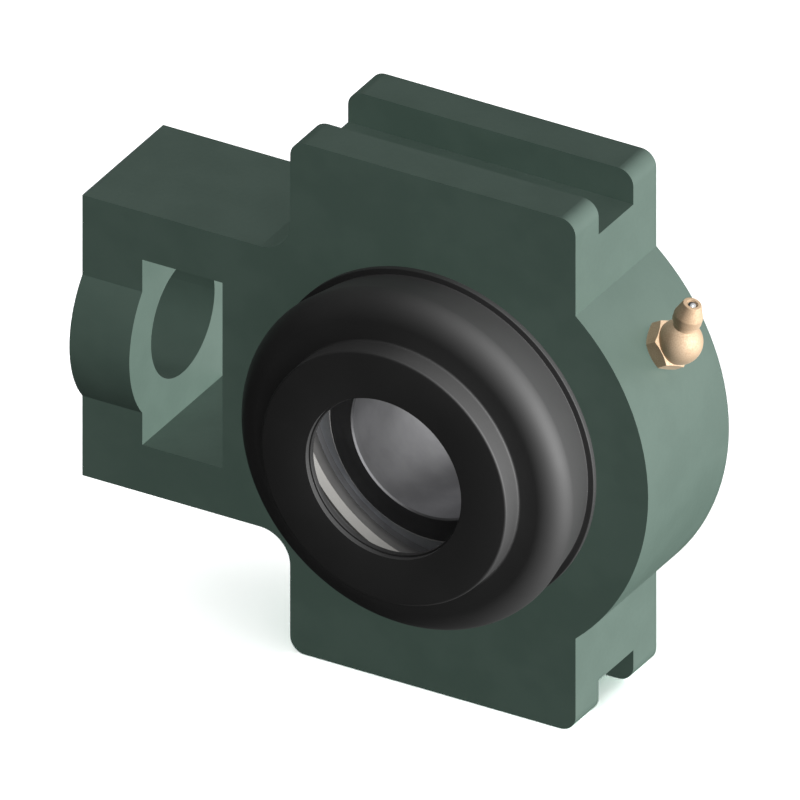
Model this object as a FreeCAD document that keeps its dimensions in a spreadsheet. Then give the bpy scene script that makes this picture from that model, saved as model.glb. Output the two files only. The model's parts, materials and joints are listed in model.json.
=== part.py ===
import FreeCAD, Part
import math
import operator
import os
from types import SimpleNamespace

import Sketcher

# Take up bearing unit for a 30 mm shaft: a cast slide housing that runs on two guide rails and is
# pulled along by an adjusting screw, with a self-aligning ball bearing insert, an open dust cover on
# each side and an elbow grease nipple.
#
# Frame: the origin is the centre of the bearing. The shaft lies along Y, with the front at -Y. The
# rails run along X, with the screw end at -X and the round end at +X. Z is up.

# Driving sizes, in millimetres and degrees. Every length that can be set by itself stands here once.
SIZES = {
    # Housing casting
    "thickness": 28,
    "round_radius": 43,
    "plate_length": 57,
    "plate_height": 102,
    "corner_radius": 3,
    "inside_radius": 6,
    "guide_width": 12,
    "guide_distance": 89,
    "screw_end_reach": 70,
    "screw_end_height": 56,
    "screw_end_wall": 12,
    "nut_opening_length": 16,
    "nut_opening_height": 37,
    "screw_boss_diameter": 37,
    "screw_hole_diameter": 22,
    "seat_gap": 0.05,
    "seat_mouth_inset": 1.2,
    "cover_seat_step": 1.4,
    "cover_seat_depth": 2.4,
    "slot_gap": 0.3,
    # Bearing insert
    "shaft_diameter": 30,
    "insert_diameter": 62,
    "outer_width": 19,
    "inner_front": 15.9,
    "inner_rear": 22.2,
    "bore_chamfer": 0.3,
    "rim_chamfer": 0.6,
    "ball_diameter": 9.525,
    "ball_gap": 0.05,
    "race_radius": 4.95,
    "inner_shoulder_offset": 3.0,
    "outer_shoulder_offset": 3.1,
    "seal_seat_step": 1.2,
    "seal_inner_face": 6.0,
    "seal_thickness": 1.4,
    "seal_lip_gap": 0.1,
    "fitted_gap": 0.02,
    "flinger_face": 8.5,
    "flinger_sheet": 0.7,
    "flinger_gap": 0.4,
    "flinger_hub_length": 2.0,
    "cage_sheet": 0.8,
    "cage_width": 3.6,
    "pocket_gap": 0.15,
    "rivet_diameter": 1.6,
    "rivet_head_diameter": 2.6,
    "rivet_head_height": 0.5,
    "lube_offset": 5.4,
    "lube_groove_width": 2.4,
    "lube_groove_depth": 0.6,
    "lube_hole_diameter": 2.0,
    "set_screw_diameter": 6,
    "set_screw_length": 5,
    "set_screw_inset": 5,
    "set_screw_recess": 0.2,
    "set_screw_socket": 3,
    "set_screw_socket_depth": 2.4,
    # Dust covers
    "cover_sheet": 1.0,
    "cover_flange_width": 1.5,
    "cover_flange_height": 1.0,
    "cover_foot_step": 0.3,
    "cover_bulge": 1.3,
    "cover_shoulder": 4.7,
    "cover_height": 12.8,
    "cover_boss_radius": 24.5,
    "cover_reach": 31.1,
    "cover_hole_radius": 15.5,
    "seal_body_height": 3.0,
    "seal_body_radius": 18.4,
    "seal_lip_width": 1.0,
    "shaft_gap": 0.12,
    # Grease nipple
    "nipple_angle": 30,
    "nipple_base": 43.5,
    "nipple_thread_diameter": 6,
    "nipple_thread_length": 6.5,
    "nipple_hex": 8,
    "nipple_hex_height": 2.7,
    "nipple_elbow_reach": 4.1,
    "nipple_elbow_diameter": 8.2,
    "nipple_bend": 43,
    "nipple_neck_diameter": 4.2,
    "nipple_head_start": 4.35,
    "nipple_head_rim": 4.75,
    "nipple_head_shoulder": 6.1,
    "nipple_head_diameter": 5.2,
    "nipple_tip_reach": 8.7,
    "nipple_tip_diameter": 3.3,
    "nipple_passage_diameter": 1.6,
    "check_ball_diameter": 2.4,
    "check_hole_diameter": 2.1,
    "check_lip": 0.5,
    "check_chamber_diameter": 3.0,
    "check_chamber_floor": 3.4,
    "check_gap": 0.03,
    "check_spring_wire": 0.25,
    "check_spring_diameter": 1.9,
    "check_spring_turns": 4,
}

BALL_COUNT = 9
RIM_SIDES = {"front": -1, "rear": 1}
SET_SCREW_ANGLES = {"set_screw_1": 30, "set_screw_2": 150}

# So fine a wire is drawn with flats
WIRE_FLAT_COUNT = 8

X_AXIS = FreeCAD.Vector(1, 0, 0)
Y_AXIS = FreeCAD.Vector(0, 1, 0)
Z_AXIS = FreeCAD.Vector(0, 0, 1)


# Measures: a number that also carries the sheet formula it came from
class Measure:
    def __init__(self, formula, number):
        self.formula = formula
        self.number = number

    def joined(self, sign, work, other):
        other = measure(other)
        return Measure(f"({self.formula} {sign} {other.formula})", work(self.number, other.number))

    def __add__(self, other):
        return self.joined("+", operator.add, other)

    def __sub__(self, other):
        return self.joined("-", operator.sub, other)

    def __mul__(self, other):
        return self.joined("*", operator.mul, other)

    def __truediv__(self, other):
        return self.joined("/", operator.truediv, other)

    def __rsub__(self, other):
        return measure(other) - self

    def __neg__(self):
        return self * -1

    __radd__ = __add__
    __rmul__ = __mul__


def measure(term):
    return term if isinstance(term, Measure) else Measure(f"({term})", term)


def root(square):
    return Measure(f"sqrt({square.formula})", math.sqrt(square.number))


def leg(long_side, short_side):
    """The third side of a right triangle."""
    return root(long_side * long_side - short_side * short_side)


def cosine(angle):
    angle = measure(angle)
    return Measure(f"cos({angle.formula} * 1 deg)", math.cos(math.radians(angle.number)))


def sine(angle):
    angle = measure(angle)
    return Measure(f"sin({angle.formula} * 1 deg)", math.sin(math.radians(angle.number)))


def size_sheet(doc):
    """The sheet that holds the driving sizes, and the same sizes as measures with those worked out."""
    sheet = doc.addObject("Spreadsheet::Sheet", "sizes")
    for row, (alias, value) in enumerate(SIZES.items(), 1):
        sheet.set(f"A{row}", str(value))
        sheet.setAlias(f"A{row}", alias)
    doc.recompute()
    size = SimpleNamespace(**{alias: Measure(f"sizes.{alias}", value) for alias, value in SIZES.items()})

    # The balls run halfway between the shaft and the outside of the insert
    size.insert_radius = size.insert_diameter / 2
    size.pitch_radius = (size.insert_diameter + size.shaft_diameter) / 4
    size.inner_radius = size.pitch_radius - size.inner_shoulder_offset
    size.outer_shoulder_radius = size.pitch_radius + size.outer_shoulder_offset
    size.seal_seat_radius = size.outer_shoulder_radius + size.seal_seat_step

    # The covers sit round the mouth of the insert's seat
    size.seat_mouth_radius = size.insert_radius - size.seat_mouth_inset
    size.cover_seat_radius = size.seat_mouth_radius + size.cover_seat_step
    return size


# Document helpers
def bind(thing, **measures):
    for name, value in measures.items():
        thing.setExpression(name, measure(value).formula)
    return thing


def place(thing, x=0, y=0, z=0, turn=0, about=Y_AXIS):
    """Puts a piece at x, y, z, turned about an axis by a number of degrees."""
    spot = [measure(value) for value in (x, y, z)]
    thing.Placement = FreeCAD.Placement(
        FreeCAD.Vector(*(value.number for value in spot)),
        FreeCAD.Rotation(about, measure(turn).number),
    )
    for name, value in zip("xyz", spot):
        thing.setExpression(f"Placement.Base.{name}", value.formula)
    return thing


def new_body(doc, name):
    return doc.addObject("PartDesign::Body", name)


def sketch_on(body, plane, name, offset=0):
    """A sketch on one of the body's own planes, moved along that plane's normal."""
    sketch = body.newObject("Sketcher::SketchObject", name)
    support = next(item for item in body.Origin.OriginFeatures if item.Role == plane)
    sketch.AttachmentSupport = [(support, "")]
    sketch.MapMode = "FlatFace"
    sketch.setExpression("AttachmentOffset.Base.z", measure(offset).formula)
    return sketch


def arc_between(start, end, bend):
    """The short arc of radius |bend|: anticlockwise from start to end if bend is positive."""
    chord = end - start
    rise = math.sqrt(max(bend * bend - chord.Length**2 / 4, 0))
    left = FreeCAD.Vector(-chord.y, chord.x, 0).normalize()
    centre = (start + end) / 2 + left * math.copysign(rise, bend)
    first, last = (start, end) if bend > 0 else (end, start)
    angles = [math.atan2(point.y - centre.y, point.x - centre.x) for point in (first, last)]
    return Part.ArcOfCircle(Part.Circle(centre, Z_AXIS, abs(bend)), *angles)


def draw_outline(sketch, corners):
    """Closes an outline through corners given as (x, y) or (x, y, bend).

    A bend makes the edge to the next corner an arc of that radius. It is negative where the arc
    turns clockwise."""
    corners = [[measure(value) for value in corner] for corner in corners]
    points = [FreeCAD.Vector(corner[0].number, corner[1].number, 0) for corner in corners]
    edges = []
    for index, corner in enumerate(corners):
        start, end = points[index], points[(index + 1) % len(points)]
        if len(corner) == 2:
            edges.append((sketch.addGeometry(Part.LineSegment(start, end), False), 1, 2))
            continue
        bend = corner[2]
        edge = sketch.addGeometry(arc_between(start, end, bend.number), False)
        radius = sketch.addConstraint(Sketcher.Constraint("Radius", edge, abs(bend.number)))
        bind(sketch, **{f"Constraints[{radius}]": bend if bend.number > 0 else -bend})
        edges.append((edge, 1, 2) if bend.number > 0 else (edge, 2, 1))
    for index, (edge, first, last) in enumerate(edges):
        after, after_first, after_last = edges[(index + 1) % len(edges)]
        sketch.addConstraint(Sketcher.Constraint("Coincident", edge, last, after, after_first))
        for kind, value in zip(("DistanceX", "DistanceY"), corners[index]):
            spot = sketch.addConstraint(Sketcher.Constraint(kind, -1, 1, edge, first, value.number))
            bind(sketch, **{f"Constraints[{spot}]": value})


def rectangle(left, bottom, right, top):
    return [(left, bottom), (right, bottom), (right, top), (left, top)]


def draw_circle(sketch, radius):
    circle = Part.Circle(FreeCAD.Vector(0, 0, 0), Z_AXIS, measure(radius).number)
    edge = sketch.addGeometry(circle, False)
    sketch.addConstraint(Sketcher.Constraint("Coincident", edge, 3, -1, 1))
    size = sketch.addConstraint(Sketcher.Constraint("Radius", edge, measure(radius).number))
    bind(sketch, **{f"Constraints[{size}]": radius})


def turned(body, kind, name, corners, plane="XY_Plane"):
    """A revolution or groove about the plane's upright axis, from an outline beside that axis."""
    sketch = sketch_on(body, plane, f"{name}_outline")
    draw_outline(sketch, corners)
    feature = body.newObject(f"PartDesign::{kind}", name)
    feature.Profile = sketch
    feature.ReferenceAxis = (sketch, ["V_Axis"])
    feature.Angle = 360
    return feature


def raised(body, kind, name, sketch, length=None):
    """A pad or pocket: one way by a length, or without one both ways through everything."""
    feature = body.newObject(f"PartDesign::{kind}", name)
    feature.Profile = sketch
    if length is None:
        feature.Type = "ThroughAll"
        feature.SideType = "Symmetric"
    else:
        bind(feature, Length=length)
    return feature


def drilled(body, name, diameter, depth, **spot):
    """A round hole that starts at a spot and runs along the turned Z axis."""
    hole = body.newObject("PartDesign::SubtractiveCylinder", name)
    bind(hole, Radius=diameter / 2, Height=depth)
    return place(hole, **spot)


def primitive(doc, kind, name, **measures):
    return bind(doc.addObject(f"Part::{kind}", name), **measures)


def fused(doc, name, things):
    join = doc.addObject("Part::MultiFuse", name)
    join.Shapes = things
    return join


def cut(doc, name, base, tool):
    join = doc.addObject("Part::Cut", name)
    join.Base = base
    join.Tool = tool
    return join


# Housing: one casting with the screw end, the guide plate and the round end
def housing(doc, size):
    body = new_body(doc, "housing")
    half = size.thickness / 2
    plate_x = size.plate_length / 2
    plate_z = size.plate_height / 2
    end_z = size.screw_end_height / 2
    corner = size.corner_radius
    inside = size.inside_radius
    round_z = leg(size.round_radius, plate_x)
    upper = [
        (plate_x, round_z),
        (plate_x, plate_z - corner, corner),
        (plate_x - corner, plate_z),
        (-plate_x + corner, plate_z, corner),
        (-plate_x, plate_z - corner),
        (-plate_x, end_z + inside, -inside),
        (-plate_x - inside, end_z),
        (-size.screw_end_reach, end_z),
    ]
    lower = [
        (-size.screw_end_reach, -end_z),
        (-plate_x - inside, -end_z, -inside),
        (-plate_x, -end_z - inside),
        (-plate_x, -plate_z + corner, corner),
        (-plate_x + corner, -plate_z),
        (plate_x - corner, -plate_z, corner),
        (plate_x, -plate_z + corner),
        (plate_x, -round_z, size.round_radius),
    ]
    outline = sketch_on(body, "XZ_Plane", "casting_outline")
    draw_outline(outline, upper + lower)
    casting = raised(body, "Pad", "casting", outline, size.thickness)
    casting.SideType = "Symmetric"

    # Round boss of the adjusting screw, wider than the casting is thick
    boss = sketch_on(body, "YZ_Plane", "screw_boss_outline", -size.screw_end_reach)
    draw_circle(boss, size.screw_boss_diameter / 2)
    raised(body, "Pad", "screw_boss", boss, size.screw_end_wall)

    nut_x = -size.screw_end_reach + size.screw_end_wall
    nut_z = size.nut_opening_height / 2
    nut = sketch_on(body, "XZ_Plane", "nut_opening_outline")
    draw_outline(nut, rectangle(nut_x, -nut_z, nut_x + size.nut_opening_length, nut_z))
    raised(body, "Pocket", "nut_opening", nut)

    screw = sketch_on(body, "YZ_Plane", "screw_hole_outline", nut_x)
    draw_circle(screw, size.screw_hole_diameter / 2)
    raised(body, "Pocket", "screw_hole", screw, size.screw_end_wall)

    # Slots that the guide rails fill, above and below
    rail_y = size.guide_width / 2
    floor_z = size.guide_distance / 2
    slots = sketch_on(body, "YZ_Plane", "guide_slots_outline")
    draw_outline(slots, rectangle(-rail_y, floor_z, rail_y, plate_z))
    draw_outline(slots, rectangle(-rail_y, -plate_z, rail_y, -floor_z))
    raised(body, "Pocket", "guide_slots", slots)

    # Spherical seat, open to both faces, with a counterbore for each cover
    seat = size.insert_radius + size.seat_gap
    mouth = size.seat_mouth_radius
    mouth_y = leg(seat, mouth)
    step_y = half - size.cover_seat_depth
    cover = size.cover_seat_radius
    turned(body, "Groove", "insert_seat", [
        (0, -half),
        (cover, -half),
        (cover, -step_y),
        (mouth, -step_y),
        (mouth, -mouth_y, seat),
        (mouth, mouth_y),
        (mouth, step_y),
        (cover, step_y),
        (cover, half),
        (0, half),
    ])

    # Loading slots: the insert goes in edge on from the rear, and is then turned into its seat
    slot_x = size.outer_width / 2 + size.slot_gap
    slot_z = leg(seat, slot_x)
    slot = sketch_on(body, "XZ_Plane", "loading_slots_outline")
    draw_outline(slot, [
        (slot_x, -slot_z),
        (slot_x, slot_z, seat),
        (-slot_x, slot_z),
        (-slot_x, -slot_z, seat),
    ])
    raised(body, "Pocket", "loading_slots", slot, half)

    # Tapped hole of the nipple, and the drilling that slants from it to the groove of the insert
    across, up = cosine(size.nipple_angle), sine(size.nipple_angle)
    floor = size.nipple_base - size.nipple_thread_length
    drilled(
        body, "nipple_hole", size.nipple_thread_diameter + size.fitted_gap * 2,
        size.nipple_thread_length * 2, x=across * floor, z=up * floor, turn=90 - size.nipple_angle,
    )
    run = floor - leg(seat, size.lube_offset)
    drilling = drilled(
        body, "grease_drilling", size.lube_hole_diameter, run + size.lube_offset,
        x=across * floor, z=up * floor,
    )
    drilling.Placement.Rotation = FreeCAD.Rotation(
        Z_AXIS,
        FreeCAD.Vector(-across.number * run.number, size.lube_offset.number, -up.number * run.number),
    )
    return body


# Bearing insert
def outer_ring(doc, size):
    body = new_body(doc, "outer_ring")
    ball = size.insert_radius
    edge_y = size.outer_width / 2
    edge = leg(ball, edge_y)
    seal = size.seal_seat_radius
    seal_y = size.seal_inner_face
    shoulder = size.outer_shoulder_radius
    race_centre = size.pitch_radius + size.ball_diameter / 2 + size.ball_gap - size.race_radius
    race_y = leg(size.race_radius, shoulder - race_centre)
    turned(body, "Revolution", "ring", [
        (seal, -edge_y),
        (edge, -edge_y, ball),
        (edge, edge_y),
        (seal, edge_y),
        (seal, seal_y),
        (shoulder, seal_y),
        (shoulder, race_y, -size.race_radius),
        (shoulder, -race_y),
        (shoulder, -seal_y),
        (seal, -seal_y),
    ])
    groove_y = size.lube_groove_width / 2
    groove = leg(ball, size.lube_offset) - size.lube_groove_depth
    turned(body, "Groove", "lube_groove", rectangle(
        groove, size.lube_offset - groove_y, ball, size.lube_offset + groove_y,
    ))
    drilled(
        body, "lube_hole", size.lube_hole_diameter, ball,
        y=size.lube_offset, turn=90 - size.nipple_angle,
    )
    return body


def inner_ring(doc, size):
    body = new_body(doc, "inner_ring")
    bore = size.shaft_diameter / 2
    outside = size.inner_radius
    front = -size.inner_front
    rear = size.inner_rear
    mouth = size.bore_chamfer
    rim = size.rim_chamfer
    race_centre = size.pitch_radius - size.ball_diameter / 2 - size.ball_gap + size.race_radius
    race_y = leg(size.race_radius, race_centre - outside)
    turned(body, "Revolution", "ring", [
        (bore + mouth, front),
        (outside - rim, front),
        (outside, front + rim),
        (outside, -race_y, -size.race_radius),
        (outside, race_y),
        (outside, rear - rim),
        (outside - rim, rear),
        (bore + mouth, rear),
        (bore, rear - mouth),
        (bore, front + mouth),
    ])
    for name, angle in SET_SCREW_ANGLES.items():
        drilled(
            body, f"{name}_hole", size.set_screw_diameter + size.fitted_gap * 2, outside,
            y=rear - size.set_screw_inset, turn=90 - angle,
        )
    return body


def set_screw(doc, size, name):
    """A socket set screw with a cup point, turned so that its point faces the shaft."""
    body = new_body(doc, name)
    radius = size.set_screw_diameter / 2
    length = size.set_screw_length
    rim = size.bore_chamfer
    turned(body, "Revolution", "screw", [
        (0, rim * 2),
        (radius / 2, 0),
        (radius - rim, 0),
        (radius, rim),
        (radius, length - rim),
        (radius - rim, length),
        (0, length),
    ], "XZ_Plane")
    socket = sketch_on(body, "XY_Plane", "socket_outline", length)
    reach = size.set_screw_socket / math.sqrt(3)
    draw_outline(socket, [(reach * cosine(turn), reach * sine(turn)) for turn in range(0, 360, 60)])
    raised(body, "Pocket", "socket", socket, size.set_screw_socket_depth)
    angle = SET_SCREW_ANGLES[name]
    tip = size.shaft_diameter / 2 + size.set_screw_recess
    place(
        body, x=cosine(angle) * tip, y=size.inner_rear - size.set_screw_inset,
        z=sine(angle) * tip, turn=90 - angle,
    )
    return body


def facing(side, corners):
    """The outline of a ring at the rear, or its mirror image at the front."""
    return [(x, y * side, *(turn * side for turn in bend)) for x, y, *bend in corners]


def bearing_seal(doc, size, end):
    """A rubber ring in the side of the outer ring, with a thin web and a lip on the inner ring."""
    body = new_body(doc, f"{end}_seal")
    rim = size.seal_seat_radius - size.fitted_gap
    lip = size.inner_radius + size.seal_lip_gap
    inside = size.seal_inner_face
    face = inside + size.seal_thickness
    web = inside + size.seal_thickness / 2
    turned(body, "Revolution", "seal", facing(RIM_SIDES[end], [
        (lip, web),
        (lip + size.seal_thickness, inside),
        (rim, inside),
        (rim, face),
        (rim - size.seal_thickness, face),
        (rim - size.seal_thickness, web),
        (lip + size.seal_thickness, web),
        (lip, face),
    ]))
    return body


def flinger(doc, size, end):
    """A pressed steel disc on the inner ring that throws dirt off the seal."""
    body = new_body(doc, f"{end}_flinger")
    hub = size.inner_radius + size.fitted_gap
    sheet = size.flinger_sheet
    face = size.flinger_face
    back = face - sheet
    rim = size.seal_seat_radius - size.flinger_gap
    turned(body, "Revolution", "flinger", facing(RIM_SIDES[end], [
        (hub, back),
        (rim, back),
        (rim, face),
        (hub + sheet, face),
        (hub + sheet, back + size.flinger_hub_length),
        (hub, back + size.flinger_hub_length),
    ]))
    return body


# Balls, and the riveted cage that spaces them
def spaced(size, index, share=0.0):
    """Where a ball stands on the pitch circle, or a rivet a share of the way to the next one."""
    angle = 360 / BALL_COUNT * (index + share)
    return {"x": cosine(angle) * size.pitch_radius, "z": sine(angle) * size.pitch_radius}


def balls(doc, size):
    pieces = []
    for index in range(BALL_COUNT):
        ball = primitive(doc, "Sphere", f"ball_{index + 1}", Radius=size.ball_diameter / 2)
        pieces.append(place(ball, **spaced(size, index)))
    return pieces


def cage_disc(doc, name, radius, height, end):
    """A disc about the shaft that starts at the middle of the balls and grows to one side."""
    disc = primitive(doc, "Cylinder", name, Radius=radius, Height=height)
    return place(disc, turn=-90 * RIM_SIDES[end], about=X_AXIS)


def cage_half(doc, size, end):
    """One pressed ribbon of the cage: flat lands between the pockets, and a dome over each ball."""
    name = f"cage_{end}"
    pocket = size.ball_diameter / 2 + size.pocket_gap
    dome = pocket + size.cage_sheet
    outside = size.pitch_radius + size.cage_width / 2
    inside = size.pitch_radius - size.cage_width / 2
    land = cage_disc(doc, f"{name}_land", outside, size.cage_sheet, end)
    domes = []
    cavities = []
    for index in range(BALL_COUNT):
        for group, kind, radius in ((domes, "dome", dome), (cavities, "pocket", pocket)):
            ball = primitive(doc, "Sphere", f"{name}_{kind}_{index + 1}", Radius=radius)
            group.append(place(ball, **spaced(size, index)))
        hole = primitive(
            doc, "Cylinder", f"{name}_rivet_hole_{index + 1}",
            Radius=size.rivet_diameter / 2 + size.fitted_gap, Height=dome * 2,
        )
        cavities.append(place(hole, y=dome, **spaced(size, index, 0.5), turn=90, about=X_AXIS))
    pressed = fused(doc, f"{name}_pressed", [land] + domes)
    band = cut(
        doc, f"{name}_band",
        cage_disc(doc, f"{name}_outside", outside, dome, end),
        cage_disc(doc, f"{name}_inside", inside, dome, end),
    )
    ribbon = doc.addObject("Part::MultiCommon", f"{name}_ribbon")
    ribbon.Shapes = [pressed, band]
    return cut(doc, name, ribbon, fused(doc, f"{name}_openings", cavities))


def cage_rivets(doc, size):
    """One rivet through each pair of lands, with a head on each side."""
    parts = []
    head = size.cage_sheet + size.rivet_head_height
    for index in range(BALL_COUNT):
        spot = spaced(size, index, 0.5)
        shank = primitive(
            doc, "Cylinder", f"rivet_shank_{index + 1}",
            Radius=size.rivet_diameter / 2, Height=size.cage_sheet * 2,
        )
        parts.append(place(shank, y=size.cage_sheet, **spot, turn=90, about=X_AXIS))
        for end, side in RIM_SIDES.items():
            cap = primitive(
                doc, "Cone", f"rivet_head_{end}_{index + 1}", Radius1=size.rivet_diameter / 2,
                Radius2=size.rivet_head_diameter / 2, Height=size.rivet_head_height,
            )
            parts.append(place(cap, y=head * side, **spot, turn=90 * side, about=X_AXIS))
    return fused(doc, "cage_rivets", parts)


# Dust covers, open in the middle for the shaft
def cover(doc, size, end):
    """A pressed sheet dome with a spigot in the housing, a flange on its face and a raised centre."""
    body = new_body(doc, f"{end}_cover")
    sheet = size.cover_sheet
    face = size.thickness / 2
    spigot = size.cover_seat_radius - size.fitted_gap
    spigot_end = face - size.cover_seat_depth + size.fitted_gap
    flange = size.cover_seat_radius + size.cover_flange_width
    flange_top = face + size.cover_flange_height
    foot = size.cover_seat_radius + size.cover_foot_step
    outside = foot + size.cover_bulge
    shoulder = size.cover_shoulder
    top = face + size.cover_height
    boss = size.cover_boss_radius
    reach = size.cover_reach
    hole = size.cover_hole_radius
    turned(body, "Revolution", "shell", facing(RIM_SIDES[end], [
        (spigot - sheet, spigot_end),
        (spigot, spigot_end),
        (spigot, face),
        (flange, face),
        (flange, flange_top),
        (foot, flange_top),
        (outside, top - shoulder, shoulder),
        (outside - shoulder, top),
        (boss, top),
        (boss, reach),
        (hole, reach),
        (hole, reach - sheet),
        (boss - sheet, reach - sheet),
        (boss - sheet, top - sheet),
        (outside - shoulder, top - sheet, sheet - shoulder),
        (outside - sheet, top - shoulder),
        (foot - sheet, flange_top),
        (spigot - sheet, face),
    ]))
    return body


def cover_seal(doc, size, end):
    """A rubber ring behind the raised centre, whose lip closes the gap round the shaft."""
    body = new_body(doc, f"{end}_cover_seal")
    rim = size.cover_boss_radius - size.cover_sheet - size.fitted_gap
    shaft = size.shaft_diameter / 2 + size.shaft_gap
    front = size.cover_reach - size.cover_sheet
    back = front - size.seal_body_height
    turned(body, "Revolution", "seal", facing(RIM_SIDES[end], [
        (size.seal_body_radius, back),
        (rim, back),
        (rim, front),
        (shaft, front),
        (shaft, front - size.seal_lip_width),
    ]))
    return body


# Grease nipple
def head_point(size, along):
    """A point on the axis of the nipple's head, a length from the centre of its knee."""
    reach = size.nipple_base + size.nipple_elbow_reach
    lean = size.nipple_angle + size.nipple_bend
    return {
        "x": cosine(size.nipple_angle) * reach + cosine(lean) * along,
        "z": sine(size.nipple_angle) * reach + sine(lean) * along,
        "turn": 90 - lean,
    }


def check_ball_place(size):
    """How far along the head's axis the check ball sits when it closes the tip."""
    ball = size.check_ball_diameter / 2
    hole = size.check_hole_diameter / 2
    return size.nipple_tip_reach - size.check_lip - leg(ball, hole) - size.check_gap


def turned_head(body, size, kind, name, corners):
    """A revolution or groove about the head's axis, which leans from the base by the bend."""
    feature = turned(body, kind, name, corners, "XZ_Plane")
    sketch = feature.Profile[0]
    sketch.AttachmentOffset = FreeCAD.Placement(
        FreeCAD.Vector(0, size.nipple_elbow_reach.number, 0),
        FreeCAD.Rotation(Z_AXIS, size.nipple_bend.number),
    )
    sketch.setExpression("AttachmentOffset.Base.y", size.nipple_elbow_reach.formula)
    return feature


def grease_nipple(doc, size):
    """A hexagon on a short thread, a round knee, and a head that a grease coupler grips."""
    body = new_body(doc, "grease_nipple")
    hexagon = body.newObject("PartDesign::AdditivePrism", "hexagon")
    hexagon.Polygon = 6
    bind(hexagon, Circumradius=size.nipple_hex / math.sqrt(3), Height=size.nipple_hex_height)

    thread = body.newObject("PartDesign::AdditiveCylinder", "thread")
    bind(thread, Radius=size.nipple_thread_diameter / 2, Height=size.nipple_thread_length)
    place(thread, z=-size.nipple_thread_length)

    knee = body.newObject("PartDesign::AdditiveSphere", "knee")
    bind(knee, Radius=size.nipple_elbow_diameter / 2)
    place(knee, z=size.nipple_elbow_reach)

    turned_head(body, size, "Revolution", "head", [
        (0, 0),
        (size.nipple_neck_diameter / 2, 0),
        (size.nipple_neck_diameter / 2, size.nipple_head_start),
        (size.nipple_head_diameter / 2, size.nipple_head_rim),
        (size.nipple_head_diameter / 2, size.nipple_head_shoulder),
        (size.nipple_tip_diameter / 2, size.nipple_tip_reach),
        (0, size.nipple_tip_reach),
    ])

    passage = size.nipple_passage_diameter / 2
    chamber = size.check_chamber_diameter / 2
    chamber_top = size.nipple_tip_reach - size.check_lip
    turned_head(body, size, "Groove", "check_chamber", [
        (0, 0),
        (passage, 0),
        (passage, size.check_chamber_floor),
        (chamber, size.check_chamber_floor),
        (chamber, chamber_top),
        (size.check_hole_diameter / 2, chamber_top),
        (size.check_hole_diameter / 2, size.nipple_tip_reach),
        (0, size.nipple_tip_reach),
    ])
    drilled(
        body, "passage", size.nipple_passage_diameter,
        size.nipple_thread_length + size.nipple_elbow_reach, z=-size.nipple_thread_length,
    )
    along = size.nipple_base
    place(
        body, x=cosine(size.nipple_angle) * along, z=sine(size.nipple_angle) * along,
        turn=90 - size.nipple_angle,
    )
    return body


def nipple_ball(doc, size):
    ball = primitive(doc, "Sphere", "nipple_ball", Radius=size.check_ball_diameter / 2)
    return place(ball, **head_point(size, check_ball_place(size)))


def nipple_spring(doc, size):
    """The coil that holds the check ball in the tip, from the chamber's floor to the ball."""
    wire = size.check_spring_wire / 2
    coil = size.check_spring_diameter / 2
    clear_of_ball = size.check_ball_diameter / 2 + wire + size.check_gap
    foot = size.check_chamber_floor + wire + size.check_gap
    height = check_ball_place(size) - leg(clear_of_ball, coil) - foot
    helix = primitive(
        doc, "Helix", "spring_path", Radius=coil, Height=height, Pitch=height / size.check_spring_turns,
    )
    section = primitive(doc, "RegularPolygon", "spring_wire", Circumradius=wire)
    section.Polygon = WIRE_FLAT_COUNT
    place(section, x=coil, turn=90, about=X_AXIS)
    spring = doc.addObject("Part::Sweep", "nipple_spring")
    spring.Sections = [section]
    spring.Spine = helix
    spring.Solid = True
    spring.Frenet = True
    return place(spring, **head_point(size, foot))


def check_document(doc, pieces):
    """Stops where a feature failed, a cut removed nothing or a piece isn't one sound shape."""
    for thing in doc.Objects:
        if {"Invalid", "Error"} & set(thing.State):
            raise RuntimeError(f"{thing.Name} did not recompute: {thing.State}")
        cuts = thing.isDerivedFrom("PartDesign::Pocket") or thing.isDerivedFrom("PartDesign::Groove")
        drills = thing.TypeId == "PartDesign::SubtractiveCylinder"
        if (cuts or drills) and thing.Shape.Volume > thing.BaseFeature.Shape.Volume - 0.01:
            raise RuntimeError(f"{thing.Name} cut nothing away")
    for piece in pieces:
        if piece.Shape.isNull() or not piece.Shape.isValid() or not piece.Shape.Solids:
            raise RuntimeError(f"{piece.Label} has no sound shape")


def main():
    doc = FreeCAD.newDocument("take_up_bearing_unit")
    size = size_sheet(doc)
    pieces = [housing(doc, size), outer_ring(doc, size), inner_ring(doc, size)]
    pieces += balls(doc, size)
    pieces.append(cage_rivets(doc, size))
    pieces += [set_screw(doc, size, name) for name in SET_SCREW_ANGLES]
    for end in RIM_SIDES:
        for make in (cage_half, bearing_seal, flinger, cover, cover_seal):
            pieces.append(make(doc, size, end))
    pieces += [grease_nipple(doc, size), nipple_ball(doc, size), nipple_spring(doc, size)]
    doc.recompute()
    check_document(doc, pieces)
    os.makedirs("parts", exist_ok=True)
    for piece in pieces:
        piece.Shape.exportStep(f"parts/{piece.Label}.step")
        print(f"{piece.Label:18} {len(piece.Shape.Solids):2} solids {piece.Shape.Volume:10.2f} mm3")


main()
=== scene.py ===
# %% [markdown]
# A take up bearing unit slides between two rails and tightens the belt or chain of the shaft that
# it carries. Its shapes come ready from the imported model, so this lesson starts by loading them.
# Each solid arrives as one object that already stands in its place, with the shaft along Y.

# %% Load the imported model
import json
import math

import bmesh
import bpy
from mathutils import Matrix, Vector


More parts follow.
